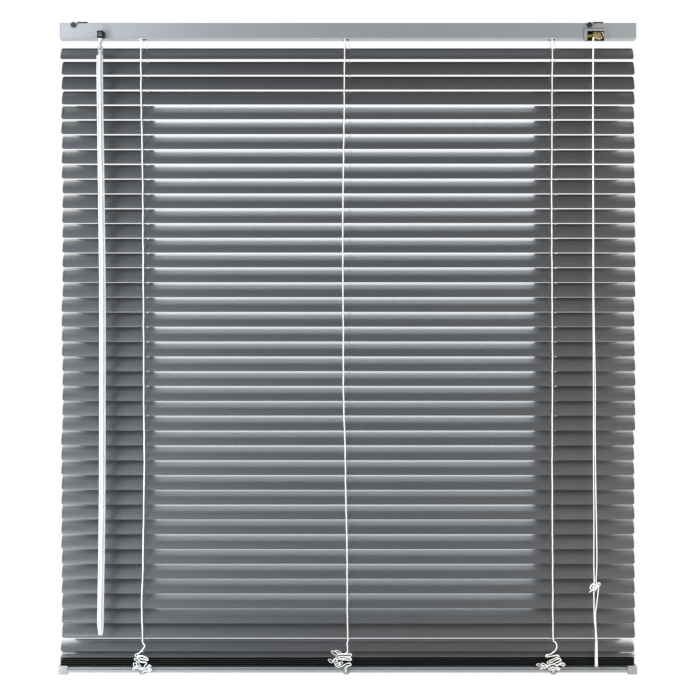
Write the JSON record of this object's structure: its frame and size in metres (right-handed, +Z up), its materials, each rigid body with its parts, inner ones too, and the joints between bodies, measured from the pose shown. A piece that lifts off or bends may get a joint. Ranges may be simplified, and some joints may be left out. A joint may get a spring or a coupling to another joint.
{
  "type": "venetian blind",
  "caption": "Horizontal slat blind with headrail, tilt wand, cord lock, ladder cords and bottom rail, lowered with its slats tilted.",
  "frame": {"origin": "middle of the plane in which the tops of both brackets meet the lintel, above the middle of the headrail", "axes": "+Z up, +X to the right seen from the room, -Y towards the room, the blind hangs below z = 0"},
  "size_m": [0.8, 0.0377, 0.9021],
  "materials": {
    "silver_lacquer": "satin silver lacquer",
    "slat_lacquer": "semi-gloss silver-grey lacquer on aluminium strip",
    "zinc_steel": "zinc plated",
    "bracket_steel": "dark blue-grey coating",
    "brass": "plain turned brass",
    "black_plastic": "moulded, satin",
    "light_plastic": "moulded, satin",
    "clear_plastic": "clear, slightly grey, glossy",
    "white_cord": "braided polyester cord"
  },
  "bodies": {
    "headrail": {"headrail": "silver_lacquer", "headrail_cap_left": "light_plastic", "headrail_cap_right": "light_plastic", "bracket_left": "bracket_steel", "bracket_right": "bracket_steel", "tilter": "black_plastic", "cord_lock": "clear_plastic", "pull_cord": "white_cord", "slat_stack": "slat_lacquer"},
    "tilt_rod": {"tilt_rod": "zinc_steel"},
    "wand_hook": {"wand_hook": "clear_plastic"},
    "wand": {"wand": "clear_plastic"},
    "ladder_front": {"ladder_cord_front": "white_cord"},
    "ladder_rear": {"ladder_cord_rear": "white_cord"},
    "bottom_rail": {"bottom_rail": "silver_lacquer", "bottom_cap_left": "clear_plastic", "bottom_cap_right": "clear_plastic"},
    "lock_roller": {"lock_roller": "brass"},
    "tassel": {"cord_tassel": "white_cord"},
    "slat_01": {"slat_01": "slat_lacquer"},
    "slat_02": {"slat_02": "slat_lacquer"},
    "slat_03": {"slat_03": "slat_lacquer"},
    "slat_04": {"slat_04": "slat_lacquer"},
    "slat_05": {"slat_05": "slat_lacquer"},
    "slat_06": {"slat_06": "slat_lacquer"},
    "slat_07": {"slat_07": "slat_lacquer"},
    "slat_08": {"slat_08": "slat_lacquer"},
    "slat_09": {"slat_09": "slat_lacquer"},
    "slat_10": {"slat_10": "slat_lacquer"},
    "slat_11": {"slat_11": "slat_lacquer"},
    "slat_12": {"slat_12": "slat_lacquer"},
    "slat_13": {"slat_13": "slat_lacquer"},
    "slat_14": {"slat_14": "slat_lacquer"},
    "slat_15": {"slat_15": "slat_lacquer"},
    "slat_16": {"slat_16": "slat_lacquer"},
    "slat_17": {"slat_17": "slat_lacquer"},
    "slat_18": {"slat_18": "slat_lacquer"},
    "slat_19": {"slat_19": "slat_lacquer"},
    "slat_20": {"slat_20": "slat_lacquer"},
    "slat_21": {"slat_21": "slat_lacquer"},
    "slat_22": {"slat_22": "slat_lacquer"},
    "slat_23": {"slat_23": "slat_lacquer"},
    "slat_24": {"slat_24": "slat_lacquer"},
    "slat_25": {"slat_25": "slat_lacquer"},
    "slat_26": {"slat_26": "slat_lacquer"},
    "slat_27": {"slat_27": "slat_lacquer"},
    "slat_28": {"slat_28": "slat_lacquer"},
    "slat_29": {"slat_29": "slat_lacquer"},
    "slat_30": {"slat_30": "slat_lacquer"},
    "slat_31": {"slat_31": "slat_lacquer"},
    "slat_32": {"slat_32": "slat_lacquer"},
    "slat_33": {"slat_33": "slat_lacquer"},
    "slat_34": {"slat_34": "slat_lacquer"},
    "slat_35": {"slat_35": "slat_lacquer"},
    "slat_36": {"slat_36": "slat_lacquer"},
    "slat_37": {"slat_37": "slat_lacquer"},
    "slat_38": {"slat_38": "slat_lacquer"},
    "slat_39": {"slat_39": "slat_lacquer"},
    "slat_40": {"slat_40": "slat_lacquer"},
    "slat_41": {"slat_41": "slat_lacquer"}
  },
  "joints": [
    {"name": "wand_turn", "type": "hinge", "parent": "headrail", "child": "wand_hook", "pos_m": [-0.341, -0.0195, -0.0335], "axis": [0, 0, 1], "range_deg": [-2520, 360]},
    {"name": "wand_swing", "type": "hinge", "parent": "wand_hook", "child": "wand", "pos_m": [-0.341, -0.0195, -0.0369], "axis": [0, 1, 0], "range_deg": [-50, 50]},
    {"name": "rod_turn", "type": "hinge", "parent": "headrail", "child": "tilt_rod", "pos_m": [0, 0, -0.0118], "axis": [1, 0, 0], "range_deg": [-158, 23]},
    {"name": "slat_01_tilt", "type": "hinge", "parent": "headrail", "child": "slat_01", "pos_m": [0, 0, -0.0402], "axis": [1, 0, 0], "range_deg": [-104.54, 15.36]},
    {"name": "slat_02_tilt", "type": "hinge", "parent": "headrail", "child": "slat_02", "pos_m": [0, 0, -0.06074], "axis": [1, 0, 0], "range_deg": [-126.5, 18.5]},
    {"name": "slat_03_tilt", "type": "hinge", "parent": "headrail", "child": "slat_03", "pos_m": [0, 0, -0.08128], "axis": [1, 0, 0], "range_deg": [-126.5, 18.5]},
    {"name": "slat_04_tilt", "type": "hinge", "parent": "headrail", "child": "slat_04", "pos_m": [0, 0, -0.10182], "axis": [1, 0, 0], "range_deg": [-126.5, 18.5]},
    {"name": "slat_05_tilt", "type": "hinge", "parent": "headrail", "child": "slat_05", "pos_m": [0, 0, -0.12236], "axis": [1, 0, 0], "range_deg": [-126.5, 18.5]},
    {"name": "slat_06_tilt", "type": "hinge", "parent": "headrail", "child": "slat_06", "pos_m": [0, 0, -0.1429], "axis": [1, 0, 0], "range_deg": [-126.5, 18.5]},
    {"name": "slat_07_tilt", "type": "hinge", "parent": "headrail", "child": "slat_07", "pos_m": [0, 0, -0.16344], "axis": [1, 0, 0], "range_deg": [-126.5, 18.5]},
    {"name": "slat_08_tilt", "type": "hinge", "parent": "headrail", "child": "slat_08", "pos_m": [0, 0, -0.18398], "axis": [1, 0, 0], "range_deg": [-126.5, 18.5]},
    {"name": "slat_09_tilt", "type": "hinge", "parent": "headrail", "child": "slat_09", "pos_m": [0, 0, -0.20452], "axis": [1, 0, 0], "range_deg": [-126.5, 18.5]},
    {"name": "slat_10_tilt", "type": "hinge", "parent": "headrail", "child": "slat_10", "pos_m": [0, 0, -0.22506], "axis": [1, 0, 0], "range_deg": [-126.5, 18.5]},
    {"name": "slat_11_tilt", "type": "hinge", "parent": "headrail", "child": "slat_11", "pos_m": [0, 0, -0.2456], "axis": [1, 0, 0], "range_deg": [-126.5, 18.5]},
    {"name": "slat_12_tilt", "type": "hinge", "parent": "headrail", "child": "slat_12", "pos_m": [0, 0, -0.26614], "axis": [1, 0, 0], "range_deg": [-126.5, 18.5]},
    {"name": "slat_13_tilt", "type": "hinge", "parent": "headrail", "child": "slat_13", "pos_m": [0, 0, -0.28668], "axis": [1, 0, 0], "range_deg": [-126.5, 18.5]},
    {"name": "slat_14_tilt", "type": "hinge", "parent": "headrail", "child": "slat_14", "pos_m": [0, 0, -0.30722], "axis": [1, 0, 0], "range_deg": [-126.5, 18.5]},
    {"name": "slat_15_tilt", "type": "hinge", "parent": "headrail", "child": "slat_15", "pos_m": [0, 0, -0.32776], "axis": [1, 0, 0], "range_deg": [-126.5, 18.5]},
    {"name": "slat_16_tilt", "type": "hinge", "parent": "headrail", "child": "slat_16", "pos_m": [0, 0, -0.3483], "axis": [1, 0, 0], "range_deg": [-126.5, 18.5]},
    {"name": "slat_17_tilt", "type": "hinge", "parent": "headrail", "child": "slat_17", "pos_m": [0, 0, -0.36884], "axis": [1, 0, 0], "range_deg": [-126.5, 18.5]},
    {"name": "slat_18_tilt", "type": "hinge", "parent": "headrail", "child": "slat_18", "pos_m": [0, 0, -0.38938], "axis": [1, 0, 0], "range_deg": [-126.5, 18.5]},
    {"name": "slat_19_tilt", "type": "hinge", "parent": "headrail", "child": "slat_19", "pos_m": [0, 0, -0.40992], "axis": [1, 0, 0], "range_deg": [-126.5, 18.5]},
    {"name": "slat_20_tilt", "type": "hinge", "parent": "headrail", "child": "slat_20", "pos_m": [0, 0, -0.43046], "axis": [1, 0, 0], "range_deg": [-126.5, 18.5]},
    {"name": "slat_21_tilt", "type": "hinge", "parent": "headrail", "child": "slat_21", "pos_m": [0, 0, -0.451], "axis": [1, 0, 0], "range_deg": [-126.5, 18.5]},
    {"name": "slat_22_tilt", "type": "hinge", "parent": "headrail", "child": "slat_22", "pos_m": [0, 0, -0.47154], "axis": [1, 0, 0], "range_deg": [-126.5, 18.5]},
    {"name": "slat_23_tilt", "type": "hinge", "parent": "headrail", "child": "slat_23", "pos_m": [0, 0, -0.49208], "axis": [1, 0, 0], "range_deg": [-126.5, 18.5]},
    {"name": "slat_24_tilt", "type": "hinge", "parent": "headrail", "child": "slat_24", "pos_m": [0, 0, -0.51262], "axis": [1, 0, 0], "range_deg": [-126.5, 18.5]},
    {"name": "slat_25_tilt", "type": "hinge", "parent": "headrail", "child": "slat_25", "pos_m": [0, 0, -0.53316], "axis": [1, 0, 0], "range_deg": [-126.5, 18.5]},
    {"name": "slat_26_tilt", "type": "hinge", "parent": "headrail", "child": "slat_26", "pos_m": [0, 0, -0.5537], "axis": [1, 0, 0], "range_deg": [-126.5, 18.5]},
    {"name": "slat_27_tilt", "type": "hinge", "parent": "headrail", "child": "slat_27", "pos_m": [0, 0, -0.57424], "axis": [1, 0, 0], "range_deg": [-126.5, 18.5]},
    {"name": "slat_28_tilt", "type": "hinge", "parent": "headrail", "child": "slat_28", "pos_m": [0, 0, -0.59478], "axis": [1, 0, 0], "range_deg": [-126.5, 18.5]},
    {"name": "slat_29_tilt", "type": "hinge", "parent": "headrail", "child": "slat_29", "pos_m": [0, 0, -0.61532], "axis": [1, 0, 0], "range_deg": [-126.5, 18.5]},
    {"name": "slat_30_tilt", "type": "hinge", "parent": "headrail", "child": "slat_30", "pos_m": [0, 0, -0.63586], "axis": [1, 0, 0], "range_deg": [-126.5, 18.5]},
    {"name": "slat_31_tilt", "type": "hinge", "parent": "headrail", "child": "slat_31", "pos_m": [0, 0, -0.6564], "axis": [1, 0, 0], "range_deg": [-126.5, 18.5]},
    {"name": "slat_32_tilt", "type": "hinge", "parent": "headrail", "child": "slat_32", "pos_m": [0, 0, -0.67694], "axis": [1, 0, 0], "range_deg": [-126.5, 18.5]},
    {"name": "slat_33_tilt", "type": "hinge", "parent": "headrail", "child": "slat_33", "pos_m": [0, 0, -0.69748], "axis": [1, 0, 0], "range_deg": [-126.5, 18.5]},
    {"name": "slat_34_tilt", "type": "hinge", "parent": "headrail", "child": "slat_34", "pos_m": [0, 0, -0.71802], "axis": [1, 0, 0], "range_deg": [-126.5, 18.5]},
    {"name": "slat_35_tilt", "type": "hinge", "parent": "headrail", "child": "slat_35", "pos_m": [0, 0, -0.73856], "axis": [1, 0, 0], "range_deg": [-126.5, 18.5]},
    {"name": "slat_36_tilt", "type": "hinge", "parent": "headrail", "child": "slat_36", "pos_m": [0, 0, -0.7591], "axis": [1, 0, 0], "range_deg": [-126.5, 18.5]},
    {"name": "slat_37_tilt", "type": "hinge", "parent": "headrail", "child": "slat_37", "pos_m": [0, 0, -0.77964], "axis": [1, 0, 0], "range_deg": [-126.5, 18.5]},
    {"name": "slat_38_tilt", "type": "hinge", "parent": "headrail", "child": "slat_38", "pos_m": [0, 0, -0.80018], "axis": [1, 0, 0], "range_deg": [-126.5, 18.5]},
    {"name": "slat_39_tilt", "type": "hinge", "parent": "headrail", "child": "slat_39", "pos_m": [0, 0, -0.82072], "axis": [1, 0, 0], "range_deg": [-126.5, 18.5]},
    {"name": "slat_40_tilt", "type": "hinge", "parent": "headrail", "child": "slat_40", "pos_m": [0, 0, -0.84126], "axis": [1, 0, 0], "range_deg": [-126.5, 18.5]},
    {"name": "slat_41_tilt", "type": "hinge", "parent": "headrail", "child": "slat_41", "pos_m": [0, 0, -0.8618], "axis": [1, 0, 0], "range_deg": [-81.42, 12.06]},
    {"name": "ladder_front_shift", "type": "hinge", "parent": "slat_02", "child": "ladder_front", "pos_m": [-0.002, -0.00574, -0.072], "axis": [1, 0, 0], "range_deg": [-18.5, 126.5]},
    {"name": "ladder_rear_shift", "type": "hinge", "parent": "slat_02", "child": "ladder_rear", "pos_m": [-0.002, 0.00878, -0.05165], "axis": [1, 0, 0], "range_deg": [-18.5, 126.5]},
    {"name": "rail_lift", "type": "slide", "parent": "headrail", "child": "bottom_rail", "axis": [0, 0, 1], "range_m": [-0.085, 0], "deforming": ["slat_stack", "pull_cord"]},
    {"name": "tassel_travel", "type": "slide", "parent": "headrail", "child": "tassel", "axis": [0, 0, 1], "range_m": [-0.0005, 0.0855]},
    {"name": "roller_turn", "type": "hinge", "parent": "headrail", "child": "lock_roller", "pos_m": [0.34425, -0.01, -0.0178], "axis": [1, 0, 0], "range_deg": [-1, 1160.56]}
  ],
  "couplings": [
    {"joint": "rod_turn", "follows": "wand_turn", "ratio": 0.0625},
    {"joint": "slat_01_tilt", "follows": "wand_turn", "ratio": 0.041284},
    {"joint": "slat_02_tilt", "follows": "wand_turn", "ratio": 0.05},
    {"joint": "slat_03_tilt", "follows": "wand_turn", "ratio": 0.05},
    {"joint": "slat_04_tilt", "follows": "wand_turn", "ratio": 0.05},
    {"joint": "slat_05_tilt", "follows": "wand_turn", "ratio": 0.05},
    {"joint": "slat_06_tilt", "follows": "wand_turn", "ratio": 0.05},
    {"joint": "slat_07_tilt", "follows": "wand_turn", "ratio": 0.05},
    {"joint": "slat_08_tilt", "follows": "wand_turn", "ratio": 0.05},
    {"joint": "slat_09_tilt", "follows": "wand_turn", "ratio": 0.05},
    {"joint": "slat_10_tilt", "follows": "wand_turn", "ratio": 0.05},
    {"joint": "slat_11_tilt", "follows": "wand_turn", "ratio": 0.05},
    {"joint": "slat_12_tilt", "follows": "wand_turn", "ratio": 0.05},
    {"joint": "slat_13_tilt", "follows": "wand_turn", "ratio": 0.05},
    {"joint": "slat_14_tilt", "follows": "wand_turn", "ratio": 0.05},
    {"joint": "slat_15_tilt", "follows": "wand_turn", "ratio": 0.05},
    {"joint": "slat_16_tilt", "follows": "wand_turn", "ratio": 0.05},
    {"joint": "slat_17_tilt", "follows": "wand_turn", "ratio": 0.05},
    {"joint": "slat_18_tilt", "follows": "wand_turn", "ratio": 0.05},
    {"joint": "slat_19_tilt", "follows": "wand_turn", "ratio": 0.05},
    {"joint": "slat_20_tilt", "follows": "wand_turn", "ratio": 0.05},
    {"joint": "slat_21_tilt", "follows": "wand_turn", "ratio": 0.05},
    {"joint": "slat_22_tilt", "follows": "wand_turn", "ratio": 0.05},
    {"joint": "slat_23_tilt", "follows": "wand_turn", "ratio": 0.05},
    {"joint": "slat_24_tilt", "follows": "wand_turn", "ratio": 0.05},
    {"joint": "slat_25_tilt", "follows": "wand_turn", "ratio": 0.05},
    {"joint": "slat_26_tilt", "follows": "wand_turn", "ratio": 0.05},
    {"joint": "slat_27_tilt", "follows": "wand_turn", "ratio": 0.05},
    {"joint": "slat_28_tilt", "follows": "wand_turn", "ratio": 0.05},
    {"joint": "slat_29_tilt", "follows": "wand_turn", "ratio": 0.05},
    {"joint": "slat_30_tilt", "follows": "wand_turn", "ratio": 0.05},
    {"joint": "slat_31_tilt", "follows": "wand_turn", "ratio": 0.05},
    {"joint": "slat_32_tilt", "follows": "wand_turn", "ratio": 0.05},
    {"joint": "slat_33_tilt", "follows": "wand_turn", "ratio": 0.05},
    {"joint": "slat_34_tilt", "follows": "wand_turn", "ratio": 0.05},
    {"joint": "slat_35_tilt", "follows": "wand_turn", "ratio": 0.05},
    {"joint": "slat_36_tilt", "follows": "wand_turn", "ratio": 0.05},
    {"joint": "slat_37_tilt", "follows": "wand_turn", "ratio": 0.05},
    {"joint": "slat_38_tilt", "follows": "wand_turn", "ratio": 0.05},
    {"joint": "slat_39_tilt", "follows": "wand_turn", "ratio": 0.05},
    {"joint": "slat_40_tilt", "follows": "wand_turn", "ratio": 0.05},
    {"joint": "slat_41_tilt", "follows": "wand_turn", "ratio": 0.03211},
    {"joint": "ladder_front_shift", "follows": "wand_turn", "ratio": -0.05},
    {"joint": "ladder_rear_shift", "follows": "wand_turn", "ratio": -0.05},
    {"joint": "tassel_travel", "follows": "rail_lift", "ratio": -1},
    {"joint": "roller_turn", "follows": "rail_lift", "rad_per_m": -238.1}
  ]
}
